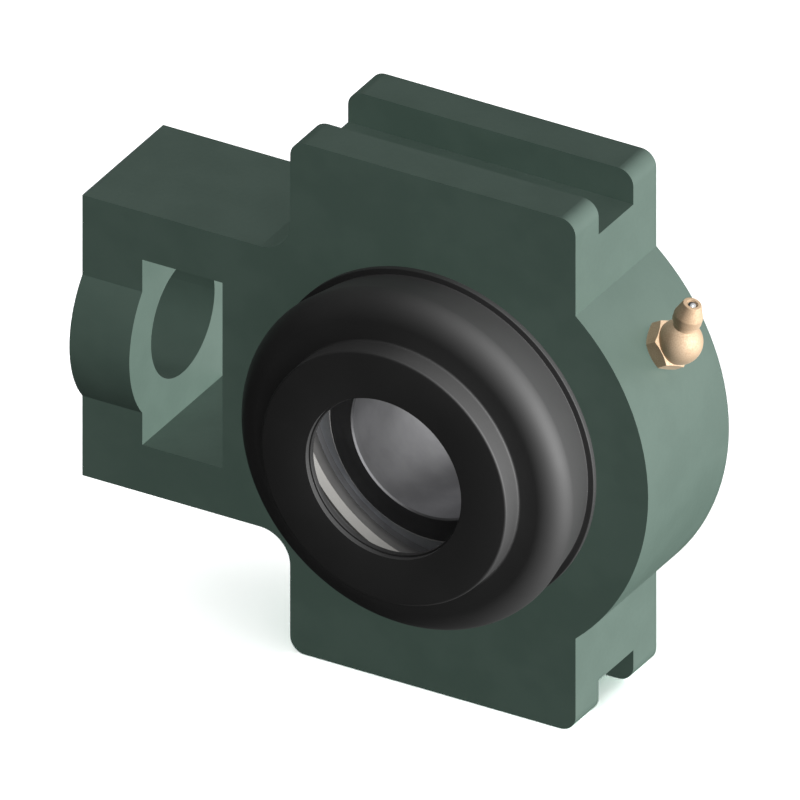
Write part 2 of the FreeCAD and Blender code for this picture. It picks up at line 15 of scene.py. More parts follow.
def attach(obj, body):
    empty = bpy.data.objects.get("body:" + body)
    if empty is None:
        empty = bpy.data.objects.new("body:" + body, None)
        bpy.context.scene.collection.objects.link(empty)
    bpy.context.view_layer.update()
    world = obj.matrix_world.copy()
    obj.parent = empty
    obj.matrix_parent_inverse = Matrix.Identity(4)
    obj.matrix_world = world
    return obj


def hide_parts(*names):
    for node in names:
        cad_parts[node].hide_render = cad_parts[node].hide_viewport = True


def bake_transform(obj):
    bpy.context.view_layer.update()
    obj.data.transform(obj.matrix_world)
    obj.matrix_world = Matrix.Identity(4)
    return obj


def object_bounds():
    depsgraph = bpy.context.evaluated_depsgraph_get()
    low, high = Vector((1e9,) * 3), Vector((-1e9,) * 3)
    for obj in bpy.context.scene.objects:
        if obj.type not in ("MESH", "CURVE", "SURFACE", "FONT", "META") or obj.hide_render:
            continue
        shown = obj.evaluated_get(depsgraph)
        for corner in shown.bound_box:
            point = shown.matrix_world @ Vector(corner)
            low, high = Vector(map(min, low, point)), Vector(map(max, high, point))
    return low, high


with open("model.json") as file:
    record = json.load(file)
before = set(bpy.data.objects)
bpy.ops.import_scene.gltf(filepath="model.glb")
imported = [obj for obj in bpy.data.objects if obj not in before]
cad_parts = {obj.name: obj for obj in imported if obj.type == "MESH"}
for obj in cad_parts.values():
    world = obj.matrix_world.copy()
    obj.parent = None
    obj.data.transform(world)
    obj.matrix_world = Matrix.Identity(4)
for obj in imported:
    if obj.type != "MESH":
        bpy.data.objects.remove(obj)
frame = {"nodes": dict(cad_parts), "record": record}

cad_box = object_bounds()
MM = 0.001

# %% [markdown]
# The picture that we follow is an orthographic view, as a drawing program makes it: lines that
# are parallel on the part stay parallel in the picture. An orthographic camera has no lens, only
# a width. We measured how many pixels one millimetre takes, and at which pixel the middle of the
# bearing falls.

# %% Camera
IMAGE_SIZE = 800
PIXELS_PER_MM = 5.783
BEARING_PIXEL = Vector((473.3, 401.15))
AZIMUTH = math.radians(30)
ELEVATION = math.radians(30)
CAMERA_DISTANCE = 600 * MM


def towards_camera(azimuth, elevation):
    flat = math.cos(elevation)
    return Vector((math.sin(azimuth) * flat, -math.cos(azimuth) * flat, math.sin(elevation)))


def make_camera():
    data = bpy.data.cameras.new("camera")
    data.type = "ORTHO"
    data.ortho_scale = IMAGE_SIZE / PIXELS_PER_MM * MM
    camera = bpy.data.objects.new("camera", data)
    bpy.context.scene.collection.objects.link(camera)
    back = towards_camera(AZIMUTH, ELEVATION)
    turn = back.to_track_quat("Z", "Y")
    off_centre = (BEARING_PIXEL - Vector((IMAGE_SIZE, IMAGE_SIZE)) / 2) / PIXELS_PER_MM * MM
    aim = turn @ Vector((-off_centre.x, off_centre.y, 0))
    camera.location = aim + back * CAMERA_DISTANCE
    camera.rotation_mode = "QUATERNION"
    camera.rotation_quaternion = turn
    data.clip_end = CAMERA_DISTANCE * 4
    bpy.context.scene.camera = camera
    return camera


camera = make_camera()
print("camera at (mm):", [round(value / MM, 1) for value in camera.location])

# %% [markdown]
# Every finish below is a network of shader nodes. One small function adds a node with its
# settings and links, and one turns a colour as we read it off a screen into the linear numbers
# that a renderer works with. A noise has to be told how many waves fit in a metre, so a third
# turns millimetres round.

# %% Material helpers


def linear(hex_colour):
    """The linear red, green, blue and alpha of an sRGB colour such as "4b5e55"."""
    channels = [int(hex_colour[start:start + 2], 16) / 255 for start in (0, 2, 4)]
    spread = [c / 12.92 if c <= 0.04045 else ((c + 0.055) / 1.055) ** 2.4 for c in channels]
    return (*spread, 1.0)


def per_metre(size_mm):
    return 1 / (size_mm * MM)


def add(tree, kind, settings=None, **inputs):
    """Adds a node. An input is named, or numbered as i0, and takes a value, a socket or a node."""
    node = tree.nodes.new(kind)
    for name, value in (settings or {}).items():
        setattr(node, name, value)
    for name, value in inputs.items():
        numbered = name[0] == "i" and name[1:].isdigit()
        socket = node.inputs[int(name[1:]) if numbered else name.replace("_", " ")]
        if isinstance(value, bpy.types.Node):
            value = value.outputs[0]
        if isinstance(value, bpy.types.NodeSocket):
            tree.links.new(value, socket)
        else:
            socket.default_value = value
    return node


def new_material(name):
    """An empty material, its tree to build in, and where a point lies on the piece, in metres."""
    material = bpy.data.materials.new(name)
    material.use_nodes = True
    tree = material.node_tree
    tree.nodes.clear()
    return material, tree, add(tree, "ShaderNodeTexCoord").outputs["Object"]


def finish_material(material, tree, shader):
    add(tree, "ShaderNodeOutputMaterial", Surface=shader)
    return material


RGBA = {"data_type": "RGBA"}
SMOOTH = {"interpolation_type": "SMOOTHSTEP"}
# Nearly all of a noise lies between these two
NOISE_LOW, NOISE_HIGH = 0.35, 0.65
print("waves of 9 mm in a metre:", round(per_metre(9.0), 1))

# %% [markdown]
# Turning and grinding leave fine rings round the shaft. To draw them, a noise may change along
# the shaft and outwards from it, but not round it. So each point is turned into its distance from
# the axis and its place along the axis, and the noise is read there.

# %% Distance from the shaft's axis


def from_axis(tree, place):
    """Two outputs: the distance from the Y axis, and that distance with the place along Y."""
    parts = add(tree, "ShaderNodeSeparateXYZ", Vector=place)
    across = add(tree, "ShaderNodeCombineXYZ", X=parts.outputs[0], Z=parts.outputs[2])
    distance = add(tree, "ShaderNodeVectorMath", {"operation": "LENGTH"}, i0=across).outputs["Value"]
    return distance, add(tree, "ShaderNodeCombineXYZ", X=distance, Y=parts.outputs[1])


# %% [markdown]
# The housing is grey cast iron, sprayed with green machine enamel. The iron shows only where the
# bore is turned, after painting, to take the bearing and the covers. Outside, the eye gets a
# smooth film of low gloss that has levelled out over the sand grain: long soft waves in what it
# mirrors, and a colour that is a touch thinner here and there. An enamel is a dielectric, so it
# isn't metallic, and its index is about 1.5. In the bore the same network turns to bare metal
# with the marks of the tool. Moulding sand has grains of about half a millimetre. They are drawn
# coarser, or they wouldn't show.

# %% Green enamel on cast iron
SAND_GRAIN_MM = 0.9
SAND_GRAIN_HEIGHT_MM = 0.012
PAINT_WAVE_MM = 9.0
PAINT_WAVE_HEIGHT_MM = 0.03
TURNED_BORE_RADIUS = 31.6
LATHE_MARK_MM = 0.25
FILM_ROUGHNESS = (0.53, 0.58)
TURNED_IRON_ROUGHNESS = 0.62


def green_enamel_on_cast_iron():
    material, tree, place = new_material("green_enamel_on_cast_iron")
    waves = add(tree, "ShaderNodeTexNoise", Vector=place, Scale=per_metre(PAINT_WAVE_MM), Detail=2.0)
    grain = add(tree, "ShaderNodeTexNoise", Vector=place, Scale=per_metre(SAND_GRAIN_MM), Detail=4.0)
    distance, rings = from_axis(tree, place)
    marks = add(tree, "ShaderNodeTexNoise", Vector=rings, Scale=per_metre(LATHE_MARK_MM), Detail=2.0)
    bare = add(
        tree, "ShaderNodeMath", {"operation": "LESS_THAN"},
        i0=distance, i1=TURNED_BORE_RADIUS * MM,
    )
    thin = add(tree, "ShaderNodeMapRange", SMOOTH, Value=waves, i1=NOISE_LOW, i2=NOISE_HIGH)
    paint = add(tree, "ShaderNodeMix", RGBA, i0=thin, i6=linear("4b5e55"), i7=linear("4f6259"))
    colour = add(tree, "ShaderNodeMix", RGBA, i0=bare, i6=paint.outputs[2], i7=linear("9c9b98"))
    film_gloss = add(
        tree, "ShaderNodeMapRange", Value=grain, i1=NOISE_LOW, i2=NOISE_HIGH,
        i3=FILM_ROUGHNESS[0], i4=FILM_ROUGHNESS[1],
    )
    gloss = add(tree, "ShaderNodeMix", i0=bare, i2=film_gloss, i3=TURNED_IRON_ROUGHNESS)
    film = add(
        tree, "ShaderNodeBump", Height=waves, Distance=PAINT_WAVE_HEIGHT_MM * MM, Strength=0.5,
    )
    texture = add(tree, "ShaderNodeMix", i0=bare, i2=grain, i3=marks)
    normal = add(
        tree, "ShaderNodeBump", Height=texture, Distance=SAND_GRAIN_HEIGHT_MM * MM, Strength=0.5,
        Normal=film,
    )
    shader = add(
        tree, "ShaderNodeBsdfPrincipled", Base_Color=colour.outputs[2], Metallic=bare,
        Roughness=gloss, IOR=1.5, Normal=normal,
    )
    return finish_material(material, tree, shader)


FINISHES = {"green_cast_iron": green_enamel_on_cast_iron()}
print("painted outside, bare within a radius of (mm):", TURNED_BORE_RADIUS)

# %% [markdown]
# The covers are pressed from steel sheet and finished in stoved black enamel of a satin kind.
# Black takes nearly all its look from what it mirrors. So the film gets a second, clear layer,
# and both are rather rough: that makes the broad soft highlight along the bulge. The orange peel
# stays faint.

# %% Stoved black enamel on pressed steel
ORANGE_PEEL_MM = 1.6
ORANGE_PEEL_HEIGHT_MM = 0.006
DUST_CLOUD_MM = 12.0
SATIN_ROUGHNESS = (0.66, 0.72)
CLEAR_LAYER = 0.85
CLEAR_LAYER_ROUGHNESS = 0.68


def black_enamel_on_pressed_steel():
    material, tree, place = new_material("black_enamel_on_pressed_steel")
    peel = add(tree, "ShaderNodeTexNoise", Vector=place, Scale=per_metre(ORANGE_PEEL_MM), Detail=1.0)
    dust = add(tree, "ShaderNodeTexNoise", Vector=place, Scale=per_metre(DUST_CLOUD_MM), Detail=3.0)
    cloud = add(tree, "ShaderNodeMapRange", SMOOTH, Value=dust, i1=NOISE_LOW, i2=NOISE_HIGH)
    colour = add(tree, "ShaderNodeMix", RGBA, i0=cloud, i6=linear("121212"), i7=linear("151515"))
    gloss = add(
        tree, "ShaderNodeMapRange", Value=cloud, i3=SATIN_ROUGHNESS[0], i4=SATIN_ROUGHNESS[1],
    )
    normal = add(
        tree, "ShaderNodeBump", Height=peel, Distance=ORANGE_PEEL_HEIGHT_MM * MM, Strength=0.4,
    )
    shader = add(
        tree, "ShaderNodeBsdfPrincipled", Base_Color=colour.outputs[2], Roughness=gloss, IOR=1.5,
        Normal=normal, Coat_Weight=CLEAR_LAYER, Coat_Roughness=CLEAR_LAYER_ROUGHNESS,
    )
    return finish_material(material, tree, shader)


FINISHES["black_cover_enamel"] = black_enamel_on_pressed_steel()
print("orange peel (mm):", ORANGE_PEEL_MM)

# %% [markdown]
# Nitrile rubber seals are moulded in polished steel moulds, so they start out smooth, and a bloom
# of wax greys them a little with time. Rubber scatters light broadly: a high roughness, no metal.

# %% Moulded nitrile rubber
WAX_BLOOM_MM = 4.0
MOULD_SKIN_MM = 0.5
MOULD_SKIN_HEIGHT_MM = 0.008
RUBBER_ROUGHNESS = (0.6, 0.7)


def moulded_nitrile_rubber():
    material, tree, place = new_material("moulded_nitrile_rubber")
    bloom = add(tree, "ShaderNodeTexNoise", Vector=place, Scale=per_metre(WAX_BLOOM_MM), Detail=5.0)
    skin = add(tree, "ShaderNodeTexNoise", Vector=place, Scale=per_metre(MOULD_SKIN_MM), Detail=3.0)
    cloud = add(tree, "ShaderNodeMapRange", SMOOTH, Value=bloom, i1=NOISE_LOW, i2=NOISE_HIGH)
    colour = add(tree, "ShaderNodeMix", RGBA, i0=cloud, i6=linear("151515"), i7=linear("181818"))
    gloss = add(
        tree, "ShaderNodeMapRange", Value=cloud, i3=RUBBER_ROUGHNESS[0], i4=RUBBER_ROUGHNESS[1],
    )
    normal = add(
        tree, "ShaderNodeBump", Height=skin, Distance=MOULD_SKIN_HEIGHT_MM * MM, Strength=0.4,
    )
    shader = add(
        tree, "ShaderNodeBsdfPrincipled", Base_Color=colour.outputs[2], Roughness=gloss, IOR=1.52,
        Normal=normal,
    )
    return finish_material(material, tree, shader)


FINISHES["seal_rubber"] = moulded_nitrile_rubber()
print("clouds of wax bloom (mm):", WAX_BLOOM_MM)

# %% [markdown]
# Several pieces are bare metal, and they differ in how their surface was made rather than in what
# they are. One function makes them all: two tints of the metal, its roughness, and either the
# fine rings of a lathe or a stone, or the even grain of a rolled, plated or tumbled surface. The
# brass of the nipple carries the thin dull skin that brass gets in air, so its highlight is
# broad. The marks of a grinding stone and the grain of rolled steel are far finer than a quarter
# of a millimetre. They are drawn that coarse, because they wouldn't show otherwise.

# %% Bare metals
ROLLED_GRAIN_MM = 0.25
TARNISH_MM = 5.0
MARK_HEIGHT_MM = 0.001
ROUGHNESS_SPREAD = 0.1


def bare_metal(name, dark, light, roughness, turned=False):
    material, tree, place = new_material(name)
    tarnish = add(tree, "ShaderNodeTexNoise", Vector=place, Scale=per_metre(TARNISH_MM), Detail=3.0)
    cloud = add(tree, "ShaderNodeMapRange", SMOOTH, Value=tarnish, i1=NOISE_LOW, i2=NOISE_HIGH)
    colour = add(tree, "ShaderNodeMix", RGBA, i0=cloud, i6=linear(dark), i7=linear(light))
    where = from_axis(tree, place)[1] if turned else place
    mark_mm = LATHE_MARK_MM if turned else ROLLED_GRAIN_MM
    marks = add(tree, "ShaderNodeTexNoise", Vector=where, Scale=per_metre(mark_mm), Detail=2.0)
    gloss = add(
        tree, "ShaderNodeMapRange", Value=marks, i1=NOISE_LOW, i2=NOISE_HIGH,
        i3=roughness * (1 - ROUGHNESS_SPREAD), i4=roughness * (1 + ROUGHNESS_SPREAD),
    )
    normal = add(tree, "ShaderNodeBump", Height=marks, Distance=MARK_HEIGHT_MM * MM, Strength=0.5)
    shader = add(
        tree, "ShaderNodeBsdfPrincipled", Base_Color=colour.outputs[2], Metallic=1.0,
        Roughness=gloss, Normal=normal,
    )
    return finish_material(material, tree, shader)


FINISHES |= {
    "bearing_steel": bare_metal("ground_bearing_steel", "8c8c8e", "949496", 0.34, turned=True),
    "polished_steel": bare_metal("lapped_ball_steel", "c8c8ca", "cecece", 0.08),
    "cage_steel": bare_metal("pressed_strip_steel", "a2a2a2", "adadad", 0.38),
    "zinc_plated_steel": bare_metal("zinc_plated_sheet", "a4a7ab", "b0b3b6", 0.36, turned=True),
    "black_oxide_steel": bare_metal("black_oxide_steel", "2c2c2e", "38383a", 0.42),
    "nipple_brass": bare_metal("turned_brass", "bca68c", "c5b199", 0.8),
}
print("finishes:", ", ".join(sorted(material.name for material in FINISHES.values())))

# %% [markdown]
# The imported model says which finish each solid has. Each solid now gets its own, the covers and
# the nipple too, which later get meshes of their own.

# %% Give each solid its finish
slots = {part["node"]: part["material_slot"] for part in frame["record"]["subparts"]}
for node_name, thing in frame["nodes"].items():
    thing.data.materials.clear()
    thing.data.materials.append(FINISHES[slots[node_name]])
print("solids in green enamel:", [name for name in slots if slots[name] == "green_cast_iron"])

# %% [markdown]
# The world is three things at once. To the camera it is plain white. To what lights a matt
# surface it is a weak even dome, so no side is black. What glossy paint and metal mirror is a
# bright wall that stands on the side of the round end, leans over it a little and fades towards
# the front. Light Path tells the kinds of ray apart.

# %% World
DOME = 0.15
BRIGHT_SIDE = Vector((0.9, 0.2, 0.35)).normalized()
WALL_FADES_FROM, WALL_FULL_AT = -0.1, 0.75
MIRRORED_BRIGHT = 1.2
MIRRORED_DARK = 0.02


def make_world():
    world = bpy.data.worlds.new("studio")
    world.use_nodes = True
    bpy.context.scene.world = world
    tree = world.node_tree
    tree.nodes.clear()
    ray = add(tree, "ShaderNodeLightPath")
    direction = add(tree, "ShaderNodeTexCoord").outputs["Generated"]
    facing = add(
        tree, "ShaderNodeVectorMath", {"operation": "DOT_PRODUCT"}, i0=direction, i1=BRIGHT_SIDE,
    )
    wall = add(
        tree, "ShaderNodeMapRange", SMOOTH, Value=facing.outputs["Value"],
        i1=WALL_FADES_FROM, i2=WALL_FULL_AT, i3=MIRRORED_DARK, i4=MIRRORED_BRIGHT,
    )
    mirrored = add(
        tree, "ShaderNodeMath", {"operation": "MAXIMUM"}, i0=ray.outputs["Is Glossy Ray"],
        i1=ray.outputs["Is Transmission Ray"],
    )
    level = add(tree, "ShaderNodeMix", i0=mirrored, i2=DOME, i3=wall)
    level = add(tree, "ShaderNodeMix", i0=ray.outputs["Is Camera Ray"], i2=level, i3=1.0)
    background = add(tree, "ShaderNodeBackground", Color=linear("ffffff"), Strength=level)
    add(tree, "ShaderNodeOutputWorld", Surface=background)


bpy.context.scene.view_settings.view_transform = "Standard"
make_world()
print("strength of the dome:", DOME)

# %% [markdown]
# The part stands on its lower ridges on a wide sheet of white paper. Only the weak dome lights
# the sheet, which would leave it grey. So to the camera alone the sheet is made brighter, until
# it is white and somewhat beyond. The shadow that the part takes out of the dome then stays, but
# faint.

# %% Floor
FLOOR_REACH = 3.0
FLOOR_GAP_MM = 0.05
PAPER_WHITE = 0.8
FLOOR_WHITE = 1.7


def make_floor():
    """A wide pale sheet under the lower ridges. To the camera it is as bright as the background."""
    data = bpy.data.meshes.new("floor")
    edge = FLOOR_REACH
    corners = [(-edge, -edge, 0), (edge, -edge, 0), (edge, edge, 0), (-edge, edge, 0)]
    data.from_pydata(corners, [], [(0, 1, 2, 3)])
    sheet = bpy.data.objects.new("floor", data)
    bpy.context.scene.collection.objects.link(sheet)
    sheet.location.z = cad_box[0].z - FLOOR_GAP_MM * MM
    material, tree, _ = new_material("matt_white_paper")
    seen = add(tree, "ShaderNodeLightPath").outputs["Is Camera Ray"]
    shade = add(tree, "ShaderNodeMix", i0=seen, i2=PAPER_WHITE, i3=FLOOR_WHITE / DOME)
    paper = add(tree, "ShaderNodeBsdfDiffuse", Color=shade)
    data.materials.append(finish_material(material, tree, paper))
    sheet.visible_glossy = False
    sheet.visible_transmission = False
    return sheet


floor = make_floor()
print("floor at (mm):", round(floor.location.z / MM, 2))

# %% [markdown]
# Four suns draw the form. The key lies level on the side of the round end, the front sun stands
# high before the part, and the back sun keeps the far side readable. The gloss sun only makes
# highlights, and draws out the one on each rounded edge. The suns cast no shadow, so the inside
# of the openings stays clear. Light linking makes them leave out the floor, or it would turn far
# too bright.

# %% Suns
SUN_WIDTH = math.radians(12)
SUNS = {
    "key_sun": (5.3, Vector((1.0, 0.0, 0.02)), {}),
    "front_sun": (1.5, Vector((0.0, -0.75, 0.66)), {"visible_glossy": False}),
    "back_sun": (1.2, Vector((-0.6, 0.8, 0.0)), {"visible_glossy": False}),
    "gloss_sun": (2.5, Vector((0.62, -0.02, 0.76)), {"visible_diffuse": False}),
}


def make_sun(name, strength, direction, visibility, unlit):
    """A soft sun without shadow. The collection says which things it leaves out."""
    data = bpy.data.lights.new(name, "SUN")
    data.energy = strength
    data.angle = SUN_WIDTH
    data.use_shadow = False
    sun = bpy.data.objects.new(name, data)
    bpy.context.scene.collection.objects.link(sun)
    sun.rotation_mode = "QUATERNION"
    sun.rotation_quaternion = direction.to_track_quat("Z", "Y")
    for ray, seen in visibility.items():
        setattr(sun, ray, seen)
    sun.light_linking.receiver_collection = unlit


unlit = bpy.data.collections.new("left_out_by_the_suns")
unlit.objects.link(floor)
unlit.collection_objects[0].light_linking.link_state = "EXCLUDE"
for name, (strength, direction, visibility) in SUNS.items():
    make_sun(name, strength, direction, visibility, unlit)
print("suns:", ", ".join(SUNS))

# %% [markdown]
# Turned and pressed pieces are all bodies of revolution. A profile is drawn once as radius and
# height, and its corners get a small bend radius, because sheet never folds sharp. A bend is a
# curve between two points of the sides, with the corner as its handle.

# %% Profiles
BEND_STEPS = 5
ARC_STEPS = 14
NEARLY_STRAIGHT = math.radians(88)
# A bend takes at most this part of a side, so that two bends never meet
SIDE_SHARE = 1 / 2.05


def bend_corner(before, corner, after, radius):
    """The points of a curve that rounds one corner of a profile."""
    to_before = (before - corner).normalized()
    to_after = (after - corner).normalized()
    half = to_before.angle(to_after) / 2
    if radius <= 0 or half > NEARLY_STRAIGHT:
        return [corner]
    shorter = min((before - corner).length, (after - corner).length)
    reach = min(radius / math.tan(half), shorter * SIDE_SHARE)
    start, end = corner + to_before * reach, corner + to_after * reach
    points = []
    for step in range(BEND_STEPS + 1):
        share = step / BEND_STEPS
        points.append(start * (1 - share) ** 2 + corner * 2 * share * (1 - share) + end * share**2)
    return points


def rounded(profile):
    """A closed profile of (radius, height, bend) in mm with each corner rounded by its bend."""
    corners = [Vector(point[:2]) for point in profile]
    smooth = []
    for index, point in enumerate(profile):
        after = corners[(index + 1) % len(corners)]
        bend = point[2] if len(point) > 2 else 0
        smooth += bend_corner(corners[index - 1], corners[index], after, bend)
    return smooth


def arc(centre, radius, start, end, steps=ARC_STEPS):
    """Points of an arc in a profile, with its angles in degrees from the radial direction."""
    points = []
    for step in range(steps + 1):
        angle = math.radians(start + (end - start) * step / steps)
        points.append((centre[0] + radius * math.cos(angle), centre[1] + radius * math.sin(angle)))
    return points


square = rounded([(0, 0), (1, 0), (1, 1, 0.2), (0, 1)])
print("points of a square with one rounded corner:", len(square))

# %% [markdown]
# The profile is then spun round the axis. Spinning in code gives an even fine mesh, where a
# modifier would give the same with less control over where the edges fall. A profile that starts
# and ends on the axis gives a ring of points that lie on one spot there, and welding them closes
# the mesh.

# %% Spin a profile
SPIN_STEPS = 192
SAME_SPOT = 1e-7


def spin(mesh, profile, place=Matrix.Identity(4), steps=SPIN_STEPS, closed=True):
    """Adds a profile spun round Z to a bmesh, in metres, then moves it to its place."""
    rings = []
    for step in range(steps):
        turn = 2 * math.pi * step / steps
        ring = []
        for radius, height in profile:
            spot = Vector((radius * math.cos(turn), radius * math.sin(turn), height)) * MM
            ring.append(mesh.verts.new(place @ spot))
        rings.append(ring)
    count = len(profile)
    for step in range(steps):
        here, there = rings[step], rings[(step + 1) % steps]
        for index in range(count if closed else count - 1):
            after = (index + 1) % count
            mesh.faces.new((here[index], there[index], there[after], here[after]))


def mesh_data(name, mesh):
    """Closes a bmesh up, turns its faces outwards, and gives it back as mesh data."""
    bmesh.ops.remove_doubles(mesh, verts=mesh.verts, dist=SAME_SPOT)
    bmesh.ops.recalc_face_normals(mesh, faces=mesh.faces)
    data = bpy.data.meshes.new(name)
    mesh.to_mesh(data)
    mesh.free()
    return data


# The spinning axis Z laid along the shaft, with the front towards -Y
ALONG_SHAFT = {
    "front": Matrix.Rotation(math.radians(90), 4, "X"),
    "rear": Matrix.Rotation(math.radians(-90), 4, "X"),
}
print("one step of a spin (degrees):", 360 / SPIN_STEPS)

# %% [markdown]
# A mesh becomes a piece of the part when it has a finish, a body that it rides on, and the names
# of the solids that it stands for. Round faces are shaded smooth, and edges above an angle stay
# sharp.

# %% Make a piece


def make_piece(name, data, body, finish, *stands_for, sharp=35):
    """Turns mesh data into a piece that stands for CAD nodes. Where body is one name, it rides that
    body. Where body gives two names and two points, these are not used, and the piece stays where
    its mesh lies."""
    data.polygons.foreach_set("use_smooth", [True] * len(data.polygons))
    data.set_sharp_from_angle(angle=math.radians(sharp))
    data.materials.append(FINISHES[finish])
    piece = bpy.data.objects.new(name, data)
    bpy.context.scene.collection.objects.link(piece)
    if isinstance(body, str):
        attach(piece, body)
    else:
        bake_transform(piece)
    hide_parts(*stands_for)
    print(f"{name}: {len(data.polygons)} faces")


# %% [markdown]
# Each cover is one pressing: a spigot that snaps into the housing, a narrow flange that lies on
# the face, a bulging wall, a round shoulder, and a raised centre with the hole for the shaft. All
# its corners are bends of the sheet. We draw the outside and let the inside run one sheet
# thickness in.

# %% Dust covers
HOUSING_FACE = 14.0
SHEET = 1.0
SPIGOT_RADIUS = 31.18
SPIGOT_DEPTH = 2.38
FLANGE_RADIUS = 32.7
FOOT_RADIUS = 31.5
BULGE = 1.3
WALL_RADIUS = FOOT_RADIUS + BULGE
SHOULDER = 4.7
WALL_HEIGHT = 12.8
COVER_TOP = HOUSING_FACE + WALL_HEIGHT
BOSS_RADIUS = 24.5
BOSS_TOP = 31.1
HOLE_RADIUS = 15.5
BEND = 0.45
RIM_BEND = 0.1
FLANGE_BEND = 0.18
FOOT_BEND = 0.12
HOLE_BEND = 0.05


def cover_profile():
    flange_top = HOUSING_FACE + SHEET
    shoulder_at = (WALL_RADIUS - SHOULDER, COVER_TOP - SHOULDER)
    return rounded([
        (SPIGOT_RADIUS - SHEET, HOUSING_FACE - SPIGOT_DEPTH, RIM_BEND),
        (SPIGOT_RADIUS, HOUSING_FACE - SPIGOT_DEPTH, RIM_BEND),
        (SPIGOT_RADIUS, HOUSING_FACE),
        (FLANGE_RADIUS, HOUSING_FACE, RIM_BEND),
        (FLANGE_RADIUS, flange_top, FLANGE_BEND),
        (FOOT_RADIUS, flange_top, FOOT_BEND),
        *arc(shoulder_at, SHOULDER, 0, 90),
        (BOSS_RADIUS, COVER_TOP, BEND),
        (BOSS_RADIUS, BOSS_TOP, BEND),
        (HOLE_RADIUS, BOSS_TOP, HOLE_BEND),
        (HOLE_RADIUS, BOSS_TOP - SHEET),
        (BOSS_RADIUS - SHEET, BOSS_TOP - SHEET, BEND),
        (BOSS_RADIUS - SHEET, COVER_TOP - SHEET, BEND),
        *arc(shoulder_at, SHOULDER - SHEET, 90, 0),
        (FOOT_RADIUS - SHEET, flange_top),
        (SPIGOT_RADIUS - SHEET, HOUSING_FACE),
    ])


for end, turn in ALONG_SHAFT.items():
    shell = bmesh.new()
    spin(shell, cover_profile(), turn)
    pressing = mesh_data(f"{end}_cover_pressing", shell)
    make_piece(pressing.name, pressing, "housing", "black_cover_enamel", f"{end}_cover", sharp=50)

# %% [markdown]
# Behind each raised centre sits a rubber ring, whose lip leaves a hair of room round the shaft.
# Behind the lip it opens as a cone, so that grease can push dirt out. A real seal has a few fine
# rings moulded into that cone, and they cost us only more points in the profile.

# %% Cover seals
LIP_RADIUS = 15.12
LIP_THICKNESS = 1.0
SEAL_THICKNESS = 3.0
SEAL_FRONT = BOSS_TOP - SHEET
SEAL_LIP = SEAL_FRONT - LIP_THICKNESS
SEAL_BACK = SEAL_FRONT - SEAL_THICKNESS
SEAL_BACK_RADIUS = 18.4
SEAL_ROOM = 0.02
SEAL_RIM_RADIUS = BOSS_RADIUS - SHEET - SEAL_ROOM
LIP_BEND = 0.2
EDGE_BEND = 0.1
BACK_BEND = 0.3
MOULDED_RINGS = 3
RING_HALF_WIDTH = 0.12
RING_RISE = 0.6 * RING_HALF_WIDTH
RING_BEND = 0.05


def seal_cone():
    """The inside cone from the lip to the back, with fine moulded rings."""
    start = Vector((LIP_RADIUS, SEAL_LIP))
    end = Vector((SEAL_BACK_RADIUS, SEAL_BACK))
    slope = (end - start).normalized() * RING_HALF_WIDTH
    rise = Vector((end.y - start.y, start.x - end.x)).normalized() * RING_RISE
    points = [(*start, EDGE_BEND)]
    for ring in range(MOULDED_RINGS):
        middle = start.lerp(end, (ring + 1) / (MOULDED_RINGS + 1))
        points += [(*(middle - slope),), (*(middle + rise), RING_BEND), (*(middle + slope),)]
    return points + [(*end, EDGE_BEND)]


for end, turn in ALONG_SHAFT.items():
    ring = bmesh.new()
    spin(ring, rounded([
        (LIP_RADIUS, SEAL_FRONT, LIP_BEND),
        *seal_cone(),
        (SEAL_RIM_RADIUS, SEAL_BACK, BACK_BEND),
        (SEAL_RIM_RADIUS, SEAL_FRONT, BEND),
    ]), turn)
    rubber = mesh_data(f"{end}_cover_seal_ring", ring)
    make_piece(rubber.name, rubber, "housing", "seal_rubber", f"{end}_cover_seal")

# %% [markdown]
# The grease nipple is screwed into the round end. It is turned and milled from one bar: a hexagon
# for the spanner with its corners chamfered by a cone, a round knee, and a head with a collar for
# the grease coupler. The chamfer of a hexagon is where a cone cuts a prism, so each column of the
# mesh gets its own height for the cut: the further out the corner, the lower the cone meets it.

# %% Hexagon of the grease nipple
HEX_WIDTH = 8.0
HEX_HEIGHT = 2.7
HEX_CHAMFER = math.radians(30)
HEX_STEPS = 96
# The chamfer starts just outside the flats, and each face ends just inside them
CONE_START = 1.01
FACE_REACH = 0.98
EDGE_DROP = 0.02


def hexagon():
    """A chamfered hexagon that stands on the origin."""
    mesh = bmesh.new()
    flat = HEX_WIDTH / 2
    columns = []
    for step in range(HEX_STEPS):
        turn = 2 * math.pi * step / HEX_STEPS
        off_flat = (turn + math.pi / 6) % (math.pi / 3) - math.pi / 6
        radius = flat / math.cos(off_flat)
        drop = max(radius - flat * CONE_START, 0) * math.tan(HEX_CHAMFER) + EDGE_DROP
        column = [
            (0, 0), (flat * FACE_REACH, 0), (radius, drop),
            (radius, HEX_HEIGHT - drop), (flat * FACE_REACH, HEX_HEIGHT), (0, HEX_HEIGHT),
        ]
        across, along = math.cos(turn + math.pi / 2) * MM, math.sin(turn + math.pi / 2) * MM
        columns.append([mesh.verts.new((across * r, along * r, z * MM)) for r, z in column])
    for here, there in zip(columns, columns[1:] + columns[:1]):
        for low in range(len(here) - 1):
            mesh.faces.new((here[low], there[low], there[low + 1], here[low + 1]))
    return mesh


# %% [markdown]
# The other parts of the nipple are turned: the thread, the knee and the head. The knee is a ball
# that nearly covers the hexagon, and the head leans out of it. The head has a neck, a collar that
# the coupler grips, and a cone up to its tip. Heights of the head count from the middle of the
# knee.

